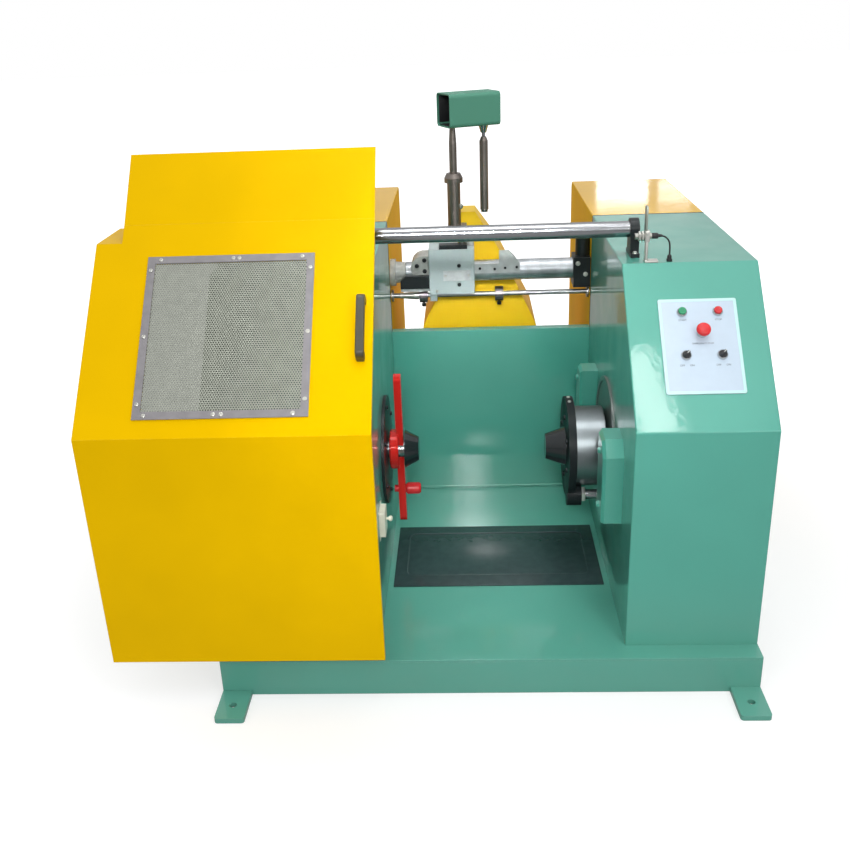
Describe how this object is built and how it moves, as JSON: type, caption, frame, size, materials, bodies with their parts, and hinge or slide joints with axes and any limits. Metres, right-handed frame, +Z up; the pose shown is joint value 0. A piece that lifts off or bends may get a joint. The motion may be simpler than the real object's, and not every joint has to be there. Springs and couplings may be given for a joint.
{
  "type": "wire drawing machine take-up",
  "caption": "Single-spool take-up of a wire drawing line: spool bay between two drive cabinets, sliding guard hood, traverse guide and control plate on a low base frame.",
  "frame": {"origin": "on the floor, in the middle of the rectangle of the four foot bolt holes", "axes": "+X towards the drive side with the control plate, +Y towards the rear, +Z up"},
  "size_m": [1.909, 2.16, 1.619],
  "materials": {
    "green_paint": "semi-gloss enamel",
    "yellow_paint": "semi-gloss enamel",
    "black_paint": "satin black",
    "red_paint": "gloss enamel",
    "grey_paint": "grey-blue enamel",
    "cream_paint": "gloss enamel",
    "plate_paint": "satin printed plate",
    "chrome": "polished",
    "steel": "turned and ground",
    "aluminium": "mill finish",
    "rubber": "ribbed matt",
    "black_plastic": "matt",
    "red_plastic": "gloss",
    "green_plastic": "gloss"
  },
  "bodies": {
    "machine": {"base_front_channel": "green_paint", "base_rear_channel": "green_paint", "base_left_channel": "green_paint", "base_right_channel": "green_paint", "base_floor_plate": "green_paint", "foot_lugs": "green_paint", "left_cabinet": "green_paint", "left_rear_cover": "yellow_paint", "right_cabinet": "green_paint", "right_rear_cover": "yellow_paint", "back_wall": "green_paint", "floor_mat": "rubber", "control_plate": "plate_paint", "button_bezels": "steel", "guide_tube": "chrome", "left_tube_clamp": "black_paint", "right_tube_clamp": "black_paint", "limit_switch": "black_paint", "switch_cable": "black_plastic", "cable_gland": "black_paint", "left_traverse_bearing": "steel", "right_traverse_bearing": "black_paint", "guide_rod": "steel", "stop_collars": "black_paint", "tail_flange": "black_paint", "latch_box": "cream_paint", "drive_flange": "black_paint", "spool_brackets": "green_paint", "wire_inlet_hood": "yellow_paint"},
    "hood": {"hood_shell": "yellow_paint", "window_frame": "aluminium", "window_screen": "aluminium", "hood_handle": "black_plastic", "hood_bearings": "black_paint", "hood_hangers": "black_paint", "hood_shoes": "black_plastic"},
    "tail_slide": {"tail_quill": "chrome"},
    "lever": {"clamp_lever": "red_paint", "lever_grip": "red_plastic"},
    "tail_centre": {"tail_cone": "black_paint"},
    "drive_spindle": {"brake_drum": "steel", "drive_plate": "black_paint", "drive_cone": "black_paint", "drive_pin": "chrome"},
    "traverse_drive": {"traverse_shaft": "steel"},
    "carriage": {"traverse_carriage": "grey_paint", "guide_post": "steel", "post_collar": "steel", "guide_box": "green_paint", "roller_pin": "chrome", "carriage_casting": "grey_paint", "carriage_plate": "steel", "carriage_block": "black_paint"},
    "roller": {"wire_roller": "steel"},
    "start": {"start_button": "green_plastic"},
    "stop": {"stop_button": "red_plastic"},
    "emergency": {"emergency_stop": "red_plastic"},
    "selector_left": {"left_selector": "black_plastic"},
    "selector_right": {"right_selector": "black_plastic"}
  },
  "joints": [
    {"name": "hood_slide", "type": "slide", "parent": "machine", "child": "hood", "axis": [1, 0, 0], "range_m": [0, 0.75]},
    {"name": "quill_feed", "type": "slide", "parent": "machine", "child": "tail_slide", "axis": [1, 0, 0], "range_m": [0, 0.12]},
    {"name": "lever_turn", "type": "hinge", "parent": "tail_slide", "child": "lever", "pos_m": [0, -0.354, 0.535], "axis": [1, 0, 0], "range_deg": [0, 2160]},
    {"name": "tail_centre_spin", "type": "hinge", "parent": "tail_slide", "child": "tail_centre", "pos_m": [0, -0.354, 0.535], "axis": [1, 0, 0], "continuous": true},
    {"name": "spindle_spin", "type": "hinge", "parent": "machine", "child": "drive_spindle", "pos_m": [0, -0.354, 0.535], "axis": [1, 0, 0], "continuous": true},
    {"name": "traverse_shaft_spin", "type": "hinge", "parent": "machine", "child": "traverse_drive", "pos_m": [0, 0.23, 0.988], "axis": [1, 0, 0], "continuous": true},
    {"name": "carriage_slide", "type": "slide", "parent": "machine", "child": "carriage", "axis": [1, 0, 0], "range_m": [-0.004, 0.07]},
    {"name": "roller_spin", "type": "hinge", "parent": "carriage", "child": "roller", "pos_m": [0.028, 0.23, 1.507], "axis": [0, 0, 1], "continuous": true},
    {"name": "start_press", "type": "slide", "parent": "machine", "child": "start", "axis": [0, 0.726, -0.6877], "range_m": [0, 0.004], "stiffness_N_per_m": 500, "springref_m": -0.001},
    {"name": "stop_press", "type": "slide", "parent": "machine", "child": "stop", "axis": [0, 0.726, -0.6877], "range_m": [0, 0.004], "stiffness_N_per_m": 500, "springref_m": -0.001},
    {"name": "emergency_press", "type": "slide", "parent": "machine", "child": "emergency", "axis": [0, 0.726, -0.6877], "range_m": [0, 0.004]},
    {"name": "left_selector_turn", "type": "hinge", "parent": "machine", "child": "selector_left", "pos_m": [0.566, -0.72888, 0.97479], "axis": [0, -0.726, 0.6877], "range_deg": [-45, 45]},
    {"name": "right_selector_turn", "type": "hinge", "parent": "machine", "child": "selector_right", "pos_m": [0.666, -0.72888, 0.97479], "axis": [0, -0.726, 0.6877], "range_deg": [-45, 45]}
  ],
  "couplings": [
    {"joint": "quill_feed", "follows": "lever_turn", "m_per_rad": 0.0031831}
  ]
}
